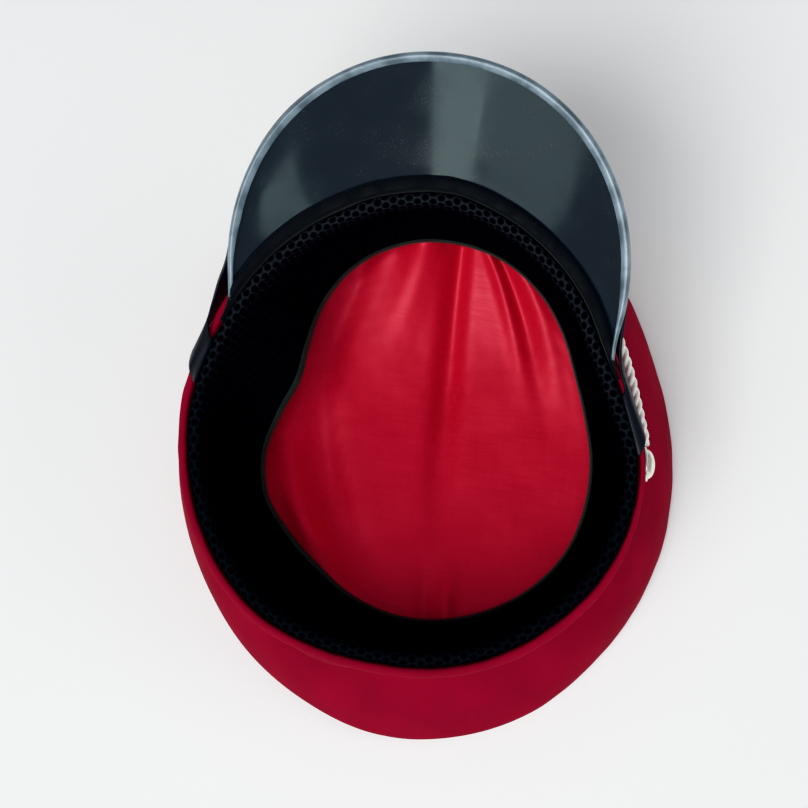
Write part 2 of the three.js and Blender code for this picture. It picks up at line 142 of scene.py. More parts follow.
# The camera looks down into the cap as in the photograph, `away` from the middle of the opening's plane,
# which shows at the pixel `shown_at` of a square frame
def camera():
    bearing, height, roll = math.radians(24), math.radians(75), math.radians(-14.5)
    away, focal_px, frame_px, sensor = 470, 1175, 808, 36
    shown_at = (413.2, 425.2)
    level_share = math.cos(height)
    back = Vector((math.sin(bearing) * level_share, -math.cos(bearing) * level_share, math.sin(height)))
    level = Vector((math.cos(bearing), math.sin(bearing), 0))
    upright = back.cross(level)
    right = level * math.cos(roll) + upright * math.sin(roll)
    up = upright * math.cos(roll) - level * math.sin(roll)
    middle = Vector((0, 0, CROWN_DEPTH * math.cos(math.radians(CROWN_TILT))))
    across_px, down_px = (shown - frame_px / 2 for shown in shown_at)
    px = away / focal_px
    position = middle + back * away - right * across_px * px + up * down_px * px
    data = bpy.data.cameras.new("camera")
    data.sensor_width = sensor
    data.lens = sensor * focal_px / frame_px
    data.clip_start = 0.01
    seen = bpy.data.objects.new("camera", data)
    turn = Matrix((right, up, back)).transposed().to_4x4()
    seen.matrix_world = Matrix.Translation(position * MM) @ turn
    bpy.context.scene.collection.objects.link(seen)
    bpy.context.scene.camera = seen


def cos(degrees):
    return np.cos(np.radians(degrees))


def sin(degrees):
    return np.sin(np.radians(degrees))


def unit(vectors):
    return vectors / np.maximum(np.linalg.norm(vectors, axis=-1, keepdims=True), 1e-9)


# From 0 at or below 0 to 1 at or above 1, smoothly
def ease(value):
    share = np.clip(value, 0, 1)
    return share * share * (3 - 2 * share)


# A smooth curve at share t of the way from b to c, where a comes before them and d after
def curve(a, b, c, d, t):
    return b + 0.5 * t * (c - a + t * (2 * a - 5 * b + 4 * c - d + t * (3 * (b - c) + d - a)))


# Smooth values round the whole cap, from a table's right and left columns
def around(right, left):
    ring = np.array(list(right) + list(left[-2:0:-1]), float)

    def at(bearing):
        position = (np.asarray(bearing, float) % 360) / 360 * len(ring)
        i = np.floor(position).astype(int)
        return curve(*(ring[(i + step) % len(ring)] for step in (-1, 0, 1, 2)), position - i)

    return at


seam, foot, rim, edge, hem_out = (around(**columns) for columns in ROUND.values())
lining_rise = around(LINING_RISE, LINING_RISE)


# The height of a point that lies `above` the table
def over_table(bearing, reach, above):
    return above / cos(CROWN_TILT) - CROWN_DEPTH - reach * cos(bearing) * np.tan(np.radians(CROWN_TILT))


# The reach of the band's outer face at a height
def band_face(bearing, height):
    share = np.clip(-height / BAND_HEIGHT, 0, 1)
    return (1 - share) * (seam(bearing) + hem_out(bearing)) + share * foot(bearing)


# A point, or a line of points, from bearing, reach and height
def place(bearing, reach, height):
    return np.stack([reach * sin(bearing), reach * cos(bearing), height + 0 * reach], -1)


# Bearings and a list of (reach, height) pairs become a grid of points: round the cap, then along
# the section
def in_space(bearing, chain):
    return np.stack([place(bearing, reach, height) for reach, height in chain], 1)


# The grid of a section all round the cap
def ring_of(chain_at, sections):
    bearing = bearings(sections)
    return in_space(bearing, chain_at(bearing))


def bearings(count):
    return np.arange(count) * 360 / count


# How far points lie from the first, on the mean, round the cap (axis 0) or along the section (axis 1)
def run(grid, axis):
    steps = np.linalg.norm(np.diff(grid, axis=axis), axis=-1)
    return np.concatenate([[0], np.cumsum(steps.mean(1 - axis))])


# More points along each section of a grid, on a smooth curve through the given ones
def smooth(grid, per, joined=False):
    before, after = grid[:, -1:], grid[:, :2]
    if not joined:
        before, after = 2 * grid[:, :1] - grid[:, 1:2], 2 * grid[:, -1:] - grid[:, -2:-1]
    ext = np.concatenate([before, grid, after], 1)
    count = ext.shape[1] - 3
    t = (np.arange(per) / per)[None, None, :, None]
    fine = curve(*(ext[:, k:k + count, None] for k in range(4)), t).reshape(len(grid), count * per, 3)
    return fine if joined else np.concatenate([fine, grid[:, -1:]], 1)


# The same sections with their points spaced anew: fine up to point `split`, then coarse
def respaced(grid, split, fine, coarse):
    far = run(np.concatenate([grid, grid[:, :1]], 1), 1)
    first = np.arange(0, far[split], fine)
    rest = np.arange(far[split], far[-1] - coarse / 2, coarse)
    position = np.interp(np.concatenate([first, rest]), far, np.arange(len(far)))
    low = np.floor(position).astype(int)
    share = (position - low)[None, :, None]
    count = grid.shape[1]
    return grid[:, low % count] * (1 - share) + grid[:, (low + 1) % count] * share


# The way each point of a grid faces; the sign is settled by the volume that the grid closes.
# A grid that is a ring goes all round the cap, and any other ends at both sides.
def facing(grid, ring=True):
    along = np.roll(grid, -1, 1) - np.roll(grid, 1, 1)
    across = np.roll(grid, -1, 0) - np.roll(grid, 1, 0) if ring else np.gradient(grid, axis=0)
    normal = unit(np.cross(across, along))
    middle = grid.mean(1, keepdims=True)
    size = np.linalg.norm(np.cross(across, along), axis=-1)
    outward = ((grid - middle) * normal).sum(-1) * size
    return normal if outward.sum() > 0 else -normal


def push(grid, amount, ring=True):
    return grid + facing(grid, ring) * np.asarray(amount)[..., None]


# Which way an open sheet round the cap faces: away from the cap's middle
def facing_out(face):
    along = np.gradient(face, axis=1)
    across = np.roll(face, -1, 0) - np.roll(face, 1, 0)
    normal = unit(np.cross(across, along))
    outward = (normal[..., :2] * face[..., :2]).sum() > 0
    return normal if outward else -normal


# A wall of even thickness from one face's grid: it goes outward from it, or inward where the thickness
# is negative, and its ends are rounded
def wall(face, thickness):
    side = facing_out(face) * thickness
    lead, tail = unit(face[:, 1] - face[:, 0]), unit(face[:, -1] - face[:, -2])
    half = abs(thickness) / 2
    start = (face[:, :1] + side[:, :1] / 2) - lead[:, None] * half
    end = (face[:, -1:] + side[:, -1:] / 2) + tail[:, None] * half
    return np.concatenate([face, end, (face + side)[:, ::-1], start], 1)


# Soft unevenness: a sum of waves about `pitch` long, in directions set by the seed, mostly from -1 to 1
def uneven(grid, pitch, seed):
    waves = 7
    dice = np.random.default_rng(seed)
    total = 0
    for _ in range(waves):
        direction = unit(dice.normal(size=3))
        length = pitch * dice.uniform(0.7, 1.6)
        total = total + np.sin(grid @ direction * 2 * np.pi / length + dice.uniform(0, 2 * np.pi))
    return total / (waves / 2)


# The upturned cap leans until its crown lies flat
def lean(points):
    x, y, z = points[..., 0], points[..., 1], points[..., 2]
    level, steep = cos(CROWN_TILT), sin(CROWN_TILT)
    return np.stack([x, y * level - z * steep, y * steep + z * level + CROWN_DEPTH * level], -1)


# A closed shell over a grid of points, with a map in millimetres: u round the cap, v along the section.
# u is stretched a little so that a whole number of repeats of a pattern goes round.
def shell(grid, ring=True, repeat=1):
    rows, count = grid.shape[:2]
    i, k = np.meshgrid(np.arange(rows if ring else rows - 1), np.arange(count), indexing="ij")
    j, m = (i + 1) % rows, (k + 1) % count
    quads = np.stack([i * count + k, j * count + k, j * count + m, i * count + m], -1).reshape(-1, 4)
    u = run(np.concatenate([grid, grid[:1]], 0) if ring else grid, 0)
    v = run(np.concatenate([grid, grid[:, :1]], 1), 1)
    u = u * max(round(u[-1] / repeat), 1) * repeat / u[-1]
    places = np.stack([u[i], v[k], u[i + 1], v[k], u[i + 1], v[k + 1], u[i], v[k + 1]], -1).reshape(-1, 4, 2)
    points = lean(grid).reshape(-1, 3)
    a, b, c = (points[quads[:, corner]] for corner in range(3))
    inside_out = np.einsum("ij,ij->", a - points.mean(0), np.cross(b - a, c - a)) < 0
    way = -1 if inside_out else 1
    faces = quads[:, ::way].tolist()
    places = places[:, ::way].reshape(-1, 2)
    if not ring:
        first, last = np.arange(count), rows * count - 1 - np.arange(count)
        faces += [first[::way].tolist(), last[::way].tolist()]
        places = np.concatenate([places, np.zeros((2 * count, 2))])
    return points, faces, places


# A piece is one or more shells. It takes its finish, rides on the cap and stands for its plain solid.
def piece(name, shells, finish, replaced):
    faces, first = [], 0
    for points, corners, _ in shells:
        faces += [[corner + first for corner in face] for face in corners]
        first += len(points)
    mesh = bpy.data.meshes.new(name)
    mesh.from_pydata((np.concatenate([points for points, _, _ in shells]) * MM).tolist(), [], faces)
    places = np.concatenate([places for _, _, places in shells])
    mesh.uv_layers.new(name="mm").data.foreach_set("uv", places.ravel())
    merge_axis(mesh)
    mesh.shade_smooth()
    material, slot = finish
    mesh.materials.append(material)
    made = bpy.data.objects.new(name, mesh)
    bpy.context.scene.collection.objects.link(made)
    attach(made, "root")
    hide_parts(replaced)
    return made


# Points that fall together on an axis become one
def merge_axis(mesh):
    together = 1e-6
    shape = bmesh.new()
    shape.from_mesh(mesh)
    bmesh.ops.remove_doubles(shape, verts=shape.verts, dist=together)
    shape.to_mesh(mesh)
    shape.free()


# A colour as a linear value, from its sRGB hex
def colour(code):
    parts = [int(code[k:k + 2], 16) / 255 for k in (1, 3, 5)]
    return [p / 12.92 if p <= 0.04045 else ((p + 0.055) / 1.055) ** 2.4 for p in parts] + [1]


# Adds a node and gives its named output, or else its first. A setting is one of the node's own properties
# or a socket, by its name, or its number as in _1, and a socket takes a value or another node's output.
def add(tree, kind, output="", **settings):
    made = tree.nodes.new("ShaderNode" + kind)
    for name in [name for name in settings if hasattr(made, name)]:
        setattr(made, name, settings.pop(name))
    sockets = {each.name.replace(" ", "_"): each for each in reversed(made.inputs) if each.enabled}
    for name, value in settings.items():
        socket = made.inputs[int(name[1:])] if name[1:].isdigit() else sockets[name]
        if isinstance(value, bpy.types.NodeSocket):
            tree.links.new(value, socket)
        else:
            socket.default_value = value
    return next(each for each in made.outputs if each.enabled and output in ("", each.name))


# A new material, with what is the same all over set on its shader's own sockets. With it come a function
# that adds nodes to it, and each point's place in millimetres.
def start(name, **constants):
    material = bpy.data.materials.new(name)
    material.use_nodes = True
    shader = material.node_tree.nodes["Principled BSDF"]
    for socket, value in constants.items():
        shader.inputs[socket.replace("_", " ")].default_value = value
    node = partial(add, material.node_tree)
    mm = node("VectorMath", operation="SCALE", Vector=node("TexCoord", "Object"), Scale=1 / MM)
    return material, node, mm


# A finish: a material whose colour, roughness and relief follow these patterns, and the slot that it fills
def finished(material, slot, tint, roughness=None, relief=None):
    tree = material.node_tree
    for socket, pattern in (("Base Color", tint), ("Roughness", roughness), ("Normal", relief)):
        if pattern:
            tree.links.new(pattern, tree.nodes["Principled BSDF"].inputs[socket])
    return material, slot


# Settings of nodes: a map range that eases in and out, one that does so where most of a noise lies,
# and a mix of colours
SOFT = {"interpolation_type": "SMOOTHSTEP"}
SOFT_NOISE = {**SOFT, "From_Min": 0.3, "From_Max": 0.7}
COLOURS = {"data_type": "RGBA"}

# How long one wave of a wave texture of scale 1 is: across its bands, and across bands that slant
WAVE = 0.314
SLANT_WAVE = 0.444

# Twill and ribs are 0.5 mm apart on real cloth and tape, and are drawn coarser, in mm, to show
TWILL = 0.9
RIB = 0.8


# Crimson wool cloth, milled and pressed: matt, with a fine twill, faint mottling from the dye
# and a soft bloom of nap where it turns away
def wool_cloth(name, slot, ground, lit):
    nap_mm, mottle_mm = 0.7, 26
    material, node, mm = start(
        name, Sheen_Weight=0.08, Sheen_Roughness=0.45, Sheen_Tint=colour("#e06a78"), Specular_IOR_Level=0.2)
    uv = node("UVMap", uv_map="mm")
    twill = node("TexWave", "Fac", bands_direction="DIAGONAL", Vector=uv, Scale=SLANT_WAVE / TWILL,
                 Distortion=0.6, Detail=1.0, Detail_Scale=1.5)
    nap = node("TexNoise", Vector=mm, Scale=1 / nap_mm, Detail=3.0)
    mottle = node("TexNoise", Vector=mm, Scale=1 / mottle_mm, Detail=4.0)
    dyed = node("MapRange", **SOFT_NOISE, Value=mottle)
    mixed = node("Mix", **COLOURS, Factor=dyed, A=colour(ground), B=colour(lit))
    fine = node("Math", operation="MULTIPLY_ADD", _0=twill, _1=0.10, _2=0.90)
    napped = node("Math", operation="MULTIPLY_ADD", _0=nap, _1=0.16, _2=-0.08)
    value = node("Math", operation="ADD", _0=fine, _1=napped)
    tint = node("VectorMath", operation="SCALE", Vector=mixed, Scale=value)
    rough = node("MapRange", **SOFT_NOISE, Value=nap, To_Min=0.78, To_Max=0.92)
    relief = node("Math", operation="MULTIPLY_ADD", _0=twill, _1=0.6, _2=nap)
    bump = node("Bump", Height=relief, Distance=0.06 * MM, Strength=0.7)
    return finished(material, slot, tint, rough, bump)


# Crimson polyester satin, woven with long floats and calendered: glossy, with a soft broad highlight
# and faint slubs across. Its threads are 0.1 mm and are drawn at 0.6 mm to show.
def satin():
    thread_mm, slub_mm, pucker_mm = 0.6, 1.1, 9
    weave_turn = (0, 0, math.radians(-10))
    material, node, mm = start(
        "satin", IOR=1.6, Specular_IOR_Level=1.0, Specular_Tint=colour("#ff8496"))
    along = node("Mapping", Vector=mm, Scale=(0.02, 1, 1), Rotation=weave_turn)
    slub = node("TexNoise", Vector=along, Scale=1 / slub_mm, Detail=2.0)
    across = node("Mapping", Vector=mm, Scale=(1, 0.04, 1), Rotation=weave_turn)
    thread = node("TexNoise", Vector=across, Scale=1 / thread_mm, Detail=2.0)
    pucker = node("TexNoise", Vector=mm, Scale=1 / pucker_mm, Detail=3.0, Roughness=0.55)
    slubs = node("MapRange", **SOFT, Value=slub, From_Min=0.25, From_Max=0.75, To_Max=0.6)
    threads = node("MapRange", **SOFT, Value=thread, From_Min=0.25, From_Max=0.75, To_Max=0.4)
    tone = node("Math", operation="ADD", _0=slubs, _1=threads)
    tint = node("Mix", **COLOURS, Factor=tone, A=colour("#b21d29"), B=colour("#bf2433"))
    rough = node("MapRange", **SOFT, Value=slub, From_Min=0.2, From_Max=0.8, To_Min=0.44, To_Max=0.54)
    fine = node("Bump", Height=tone, Distance=0.02 * MM, Strength=0.5)
    bump = node("Bump", Height=pucker, Distance=0.3 * MM, Strength=0.3, Normal=fine)
    return finished(material, "red_satin", tint, rough, bump)


# The spacer net's open cells lie on a honeycomb, which three sets of waves, 60 degrees apart, give.
# Real cells are about 3 mm apart and are drawn 3.8 mm apart to show.
NET_PITCH = 3.8
NET_WAVE = NET_PITCH * math.sqrt(3) / 2
NET_DIRECTIONS = [(math.cos(math.radians(turn)), math.sin(math.radians(turn))) for turn in (0, 60, 120)]


# How deep the net's cells are at each point of a grid, from 0 at a strand to 1 in a hole
def net_holes(grid):
    u, v = run(np.concatenate([grid, grid[:1]], 0), 0), run(grid, 1)
    u = (u * round(u[-1] / (2 * NET_WAVE)) * 2 * NET_WAVE / u[-1])[:-1, None]
    waves = sum(np.cos((u * x + v[None] * y) * 2 * np.pi / NET_WAVE) for x, y in NET_DIRECTIONS)
    return ease((waves - 0.4) / 1.6)


# Black polyester spacer net, knitted in two faces with a springy pile between: dull strands round open cells.
# The strands carry painted light: paler on the roll and towards the front, where light falls, and darker
# down the wall, in shade, with a painted highlight along their crests.
# The cells are painted near-black as shade.
def spacer_net():
    fibre_mm = 0.35
    roll_end, wall_start = 9, 21
    back, front = -40, 60
    material, node, mm = start("spacer net", Specular_IOR_Level=0)
    uv = node("UVMap", uv_map="mm")
    total = None
    for x, y in NET_DIRECTIONS:
        along = node("VectorMath", operation="DOT_PRODUCT", _0=uv, _1=(x, y, 0))
        turn = node("Math", operation="MULTIPLY", _0=along, _1=2 * math.pi / NET_WAVE)
        wave = node("Math", operation="COSINE", _0=turn)
        total = wave if total is None else node("Math", operation="ADD", _0=total, _1=wave)
    # The open cells are painted near-black: painted shade in their pits
    hole = node("MapRange", **SOFT, Value=total, From_Min=0.5, From_Max=1.8)
    # The crests are painted paler as a highlight along the strands, and also raise them in the relief
    crest = node("MapRange", **SOFT, Value=total, From_Min=0.5, From_Max=-1.4)
    fibre = node("TexNoise", Vector=mm, Scale=1 / fibre_mm, Detail=2.0)
    fuzz = node("MapRange", **SOFT_NOISE, Value=fibre, To_Min=0.4)
    section = node("SeparateXYZ", "Y", Vector=uv)
    # Painted light and shade: the strands are paler on the roll, where light falls, and darker down the wall,
    # in shade
    lighter_share = node("MapRange", **SOFT, Value=section, From_Min=roll_end, From_Max=wall_start, To_Min=1,
                To_Max=0.1)
    # Painted light: the strands are paler towards the front, which faces the light
    ahead = node("SeparateXYZ", "Y", Vector=mm)
    painted_front_light = node("MapRange", **SOFT, Value=ahead, From_Min=back, From_Max=front, To_Min=0.3)
    painted_light = crest
    for pattern in (fuzz, lighter_share, painted_front_light):
        painted_light = node("Math", operation="MULTIPLY", _0=painted_light, _1=pattern)
    # The strands go from their own near-black to a painted lit grey
    strand = node("Mix", **COLOURS, Factor=painted_light, A=colour("#090a0c"), B=colour("#404144"))
    tint = node("Mix", **COLOURS, Factor=hole, A=strand, B=colour("#020203"))
    rough = node("MapRange", **SOFT, Value=hole, To_Min=0.5)
    height = node("Math", operation="MULTIPLY_ADD", _0=fibre, _1=0.5, _2=crest)
    bump = node("Bump", Height=height, Distance=0.4 * MM, Strength=0.8)
    return finished(material, "black_mesh", tint, rough, bump)


# Woven tape, ribbed across: matt, with a dark line between ribs
def woven_tape(name, slot, rib, groove):
    wear_mm = 6
    material, node, mm = start(name, Sheen_Weight=0.15, Specular_IOR_Level=0.3)
    uv = node("UVMap", uv_map="mm")
    ribs = node("TexWave", "Fac", bands_direction="X", Vector=uv, Scale=WAVE / RIB, Distortion=0.4,
                Detail=1.0)
    wear = node("TexNoise", Vector=mm, Scale=1 / wear_mm, Detail=4.0)
    faded = node("MapRange", **SOFT, Value=wear, From_Min=0.2, From_Max=0.8, To_Min=0.6)
    tone = node("Math", operation="MULTIPLY", _0=ribs, _1=faded)
    tint = node("Mix", **COLOURS, Factor=tone, A=colour(groove), B=colour(rib))
    rough = node("MapRange", **SOFT_NOISE, Value=wear, To_Min=0.62, To_Max=0.8)
    bump = node("Bump", Height=ribs, Distance=0.12 * MM, Strength=0.6)
    return finished(material, slot, tint, rough, bump)


# Polished PVC sheet, calendered and pressed to the peak's curve: near-black slate with sharp reflections
# over slow ripples, and fine scuffs from handling
def polished_pvc():
    ripple_mm, haze_mm, scuff_mm = 30, 14, 0.5
    material, node, mm = start("polished pvc", IOR=1.54, Coat_Weight=0.3, Coat_Roughness=0.08)
    ripple = node("TexNoise", Vector=mm, Scale=1 / ripple_mm, Detail=1.0)
    haze = node("TexNoise", Vector=mm, Scale=1 / haze_mm, Detail=4.0)
    drawn = node("Mapping", Vector=mm, Scale=(1, 0.03, 1), Rotation=(0, 0, math.radians(-28)))
    lines = node("TexNoise", Vector=drawn, Scale=1 / scuff_mm, Detail=1.0)
    scratched = node("MapRange", **SOFT, Value=lines, From_Min=0.66, From_Max=0.74)
    handled = node("MapRange", **SOFT, Value=haze, From_Min=0.52, From_Max=0.66)
    scuff = node("Math", operation="MULTIPLY", _0=scratched, _1=handled)
    tint = node("Mix", **COLOURS, Factor=scuff, A=colour("#22262b"), B=colour("#323c45"))
    hazy = node("MapRange", **SOFT_NOISE, Value=haze, To_Min=0.10, To_Max=0.20)
    rough = node("Math", operation="MULTIPLY_ADD", _0=scuff, _1=0.3, _2=hazy)
    bump = node("Bump", Height=ripple, Distance=0.5 * MM, Strength=0.35)
    return finished(material, "gloss_pvc", tint, rough, bump)


# Extruded silver-grey PVC edging: satin, with fine draw lines along it and patches dulled by wear
def silver_edging():
    line_mm, wear_mm = 0.25, 8
    material, node, mm = start("silver edging", Metallic=0.15, IOR=1.5, Coat_Weight=0.2, Coat_Roughness=0.2)
    uv = node("UVMap", uv_map="mm")
    drawn = node("Mapping", Vector=uv, Scale=(0.02, 1, 1))
    lines = node("TexNoise", Vector=drawn, Scale=1 / line_mm, Detail=1.0)
    wear = node("TexNoise", Vector=mm, Scale=1 / wear_mm, Detail=4.0)
    bright = node("MapRange", **SOFT_NOISE, Value=wear)
    tint = node("Mix", **COLOURS, Factor=bright, A=colour("#505f68"), B=colour("#7b8b95"))
    rough = node("MapRange", **SOFT_NOISE, Value=lines, To_Min=0.28, To_Max=0.42)
    bump = node("Bump", Height=lines, Distance=0.03 * MM, Strength=0.5)
    return finished(material, "silver_trim", tint, rough, bump)


# Black strap leather, dyed through and finished smooth: a low sheen over a fine grain and cross creases
def strap_leather():
    grain_mm, crease_mm = 0.7, 3.5
    material, node, mm = start("strap leather", IOR=1.5)
    uv = node("UVMap", uv_map="mm")
    grain = node("TexVoronoi", Vector=mm, Scale=1 / grain_mm)
    bent = node("Mapping", Vector=uv, Scale=(1, 0.12, 1))
    crease = node("TexNoise", Vector=bent, Scale=1 / crease_mm, Detail=3.0)
    lighter_share = node("MapRange", **SOFT, Value=crease, From_Min=0.35, From_Max=0.7)
    tint = node("Mix", **COLOURS, Factor=lighter_share, A=colour("#0b0c11"), B=colour("#181a22"))
    rough = node("MapRange", **SOFT_NOISE, Value=crease, To_Min=0.46, To_Max=0.6)
    height = node("Math", operation="MULTIPLY_ADD", _0=grain, _1=0.35, _2=crease)
    bump = node("Bump", Height=height, Distance=0.15 * MM, Strength=0.5)
    return finished(material, "black_strap", tint, rough, bump)


# Ivory rayon cord, each strand of fine yarns laid the other way: soft, with fine slanting lines
def rayon_cord():
    yarn_mm, soil_mm = 0.6, 7
    material, node, mm = start(
        "rayon cord", Sheen_Weight=0.3, Sheen_Roughness=0.4, Specular_IOR_Level=0.4)
    uv = node("UVMap", uv_map="mm")
    yarn = node("TexWave", "Fac", bands_direction="DIAGONAL", Vector=uv, Scale=SLANT_WAVE / yarn_mm,
                Distortion=0.5, Detail=1.0)
    soil = node("TexNoise", Vector=mm, Scale=1 / soil_mm, Detail=4.0)
    laid = node("MapRange", **SOFT, Value=yarn, To_Min=0.7)
    clean = node("MapRange", **SOFT, Value=soil, From_Min=0.25, From_Max=0.75, To_Min=0.8)
    tone = node("Math", operation="MULTIPLY", _0=laid, _1=clean)
    tint = node("Mix", **COLOURS, Factor=tone, A=colour("#e6ddc9"), B=colour("#fffefa"))
    rough = node("MapRange", **SOFT_NOISE, Value=soil, To_Min=0.55, To_Max=0.7)
    bump = node("Bump", Height=yarn, Distance=0.1 * MM, Strength=0.6)
    return finished(material, "white_cord", tint, rough, bump)


# Silvered brass button, stamped and polished: pale and bright, with faint stamping waves and hairlines
def silvered_brass():
    wave_mm, hair_mm = 3, 0.2
    material, node, mm = start("silvered brass", Metallic=1.0)
    wave = node("TexNoise", Vector=mm, Scale=1 / wave_mm, Detail=2.0)
    hair = node("TexNoise", Vector=mm, Scale=1 / hair_mm, Detail=2.0)
    pale = node("MapRange", **SOFT_NOISE, Value=wave)
    tint = node("Mix", **COLOURS, Factor=pale, A=colour("#e4dfd2"), B=colour("#f6f2e8"))
    rough = node("MapRange", **SOFT_NOISE, Value=hair, To_Min=0.22, To_Max=0.36)
    bump = node("Bump", Height=wave, Distance=0.15 * MM, Strength=0.3)
    return finished(material, "white_metal", tint, rough, bump)


# The crown's top: a flat oval of cloth, turned up at its rim to the piping
def crown_top(finish):
    turn_up = 0.6

    def chain(bearing):
        end = rim(bearing) - 2 * PIPING["radius"] - GAP
        upper = [(end * share, over_table(bearing, end * share, CLOTH)) for share in np.linspace(0, 0.96, 24)]
        lower = [(end * share, over_table(bearing, end * share, 0)) for share in np.linspace(0.96, 0, 24)]
        turned = [(end, over_table(bearing, end, above + turn_up)) for above in (CLOTH, 0)]
        return upper + turned + lower

    return piece("crown_cloth", [shell(ring_of(chain, sections=240), repeat=TWILL)], finish, "crown_top")


# Piping: a cord in a bias strip of the cloth, round the crown's rim
def crown_piping(finish):
    radius = PIPING["radius"]

    def chain(bearing):
        rows = []
        for turn in bearings(14):
            reach = rim(bearing) - radius + radius * cos(turn)
            rows.append((reach, over_table(bearing, reach, PIPING["height"] + radius * sin(turn))))
        return rows

    grid = ring_of(chain, sections=480)
    grid = push(grid, 0.1 * uneven(grid, pitch=16, seed=3))
    return piece("crown_piping_cord", [shell(grid)], finish, "crown_piping")


# The crown's side panel, bellied outward, with soft dents where it was handled
def crown_side(finish):
    belly, steps = 3.2, 18

    def chain(bearing):
        low = PIPING["height"] + PIPING["radius"] + GAP + CLOTH / 2
        begin = np.stack([foot(bearing), np.full_like(bearing, -BAND_HEIGHT - GAP)])
        end = np.stack([rim(bearing) - 0.6, over_table(bearing, rim(bearing), low)])
        along = (end - begin) / np.linalg.norm(end - begin, axis=0)
        rows = []
        for share in np.linspace(0, 1, steps):
            out = belly * np.sin(np.pi * share) * (0.6 + 0.4 * share)
            at = begin + (end - begin) * share + out * np.stack([-along[1], along[0]])
            rows.append((at[0], at[1]))
        return rows

    face = ring_of(chain, sections=360)
    soft = np.sin(np.pi * np.linspace(0, 1, steps))[None]
    dents = (0.7 * uneven(face, pitch=55, seed=11) + 0.25 * uneven(face, pitch=18, seed=12)) * soft
    face = face + facing_out(face) * dents[..., None]
    return piece("crown_side_cloth", [shell(wall(face, -CLOTH), repeat=TWILL)], finish, "crown_side")


# The band: its cloth stands round the head and rolls over at the opening as a hem. Its section goes over
# the hem, down the outside, round the foot and up the inside.
def band(finish):
    def chain(bearing):
        inner, full = seam(bearing), hem_out(bearing) / HEM_OUT
        away = np.abs((bearing - HIND_FOLD["bearing"] + 540) % 360 - 180)
        fold = HIND_FOLD["out"] * np.exp(-((away / HIND_FOLD["spread"]) ** 2))
        foot_reach = band_face(bearing, -BAND_HEIGHT)
        hem = [(inner + out * full, height)
               for out, height in ((1.3, 1.4), (2.6, 1.5), (3.7, 0.6), (4.1, -0.9), (3.8, -2.4))]
        outside = [(band_face(bearing, height) + folded * fold, height)
                   for height, folded in ((-3.6, 0), (-7, 1), (-12, 0.4), (-18, 0), (-27, 0))]
        lower = [(foot_reach - inward, height - BAND_HEIGHT)
                 for inward, height in ((0, 0.5), (1, 0), (CLOTH, 0.5))]
        inside = [(band_face(bearing, height) - CLOTH - slack, height)
                  for height, slack in ((-27, 0.2), (-18, 0.4))]
        upper = [(inner + 1.2 * full, -9), (inner + 0.3 * full, -3)]
        return [(inner + 0.5, 0.4), *hem, *outside, *lower, *inside, *upper]

    grid = smooth(ring_of(chain, sections=480), 4, joined=True)
    free = np.clip((-grid[..., 2] - 4) / 8, 0, 1) * np.clip((BAND_HEIGHT + grid[..., 2]) / 6, 0, 1)
    dents = 0.35 * uneven(grid, pitch=40, seed=21) + 0.12 * uneven(grid, pitch=12, seed=22)
    grid = push(grid, free * dents + 0.12 * uneven(grid, pitch=9, seed=23))
    return piece("band_cloth", [shell(grid, repeat=TWILL)], finish, "band")


# The inner face of the sweatband's wall, from under its roll to its deep edge: the sweatband is its own width
# from there to the crest of the roll, `crest` in from the seam and above it
def sweat_wall(bearing):
    bow, crest, below = 1.5, (4, 2), (6, -3)
    lean_in = seam(bearing) - crest[0] - edge(bearing)
    end = (edge(bearing), crest[1] - np.sqrt(SWEAT_WIDTH ** 2 - lean_in ** 2))
    top = (seam(bearing) - below[0], below[1] + 0 * bearing)
    return [(top[0] + (end[0] - top[0]) * t + bow * math.sin(math.pi * t), top[1] + (end[1] - top[1]) * t)
            for t in (0, 0.35, 0.7, 1)]


# Points of a section moved sideways by a thickness
def beside(chain, thickness):
    moved = []
    for i, (reach, height) in enumerate(chain):
        before, after = chain[max(i - 1, 0)], chain[min(i + 1, len(chain) - 1)]
        along = np.stack([after[0] - before[0], after[1] - before[1]])
        along = along / np.linalg.norm(along, axis=0)
        moved.append((reach + along[1] * thickness, height - along[0] * thickness))
    return moved


# The padded sweatband: a soft roll of spacer net along the seam, and a wall that leans into the hollow.
# The first points of its section are in view, and are spaced finely for the net's pits.
def sweatband(finish):
    def chain(bearing):
        s = seam(bearing)
        inner = sweat_wall(bearing)
        outer = beside(inner, -SWEAT_WALL)[::-1][:-1]
        roll = [(s - 0.3, 0.2), (s - 0.9, 2.4), (s - 2.4, 4.1), (s - 4.4, 3.9), (s - 5.8, 1.8)]
        return roll + inner + outer + [(s - 2, -5), (s - 0.7, -2.4)]

    per, in_view = 12, 8
    grid = smooth(ring_of(chain, sections=640), per, joined=True)
    grid = respaced(grid, in_view * per, fine=0.85, coarse=4)
    grid = push(grid, 0.3 * uneven(grid, pitch=22, seed=31) + 0.12 * uneven(grid, pitch=8, seed=32))
    grid = push(grid, -0.45 * net_holes(grid))
    made = piece("sweatband_pad", [shell(grid, repeat=2 * NET_WAVE)], finish, "sweatband")
    return made


# A folded tape over an edge, in a section's own plane: `inside` is half the slot, `outer` half the whole
def tape_section(wide, tape, inside):
    outer = inside + tape
    lip = 0.15
    nose = [(-(GAP + tape) * sin(turn), outer * cos(turn)) for turn in np.linspace(0, 180, 9)]
    leg = [(wide - lip, outer), (wide, outer - lip), (wide, inside + lip / 2), (wide - lip, inside),
           (-GAP, inside)]
    other_leg = [(along, -across) for along, across in leg]
    return [leg[0], *nose, *other_leg, *leg[:0:-1]]


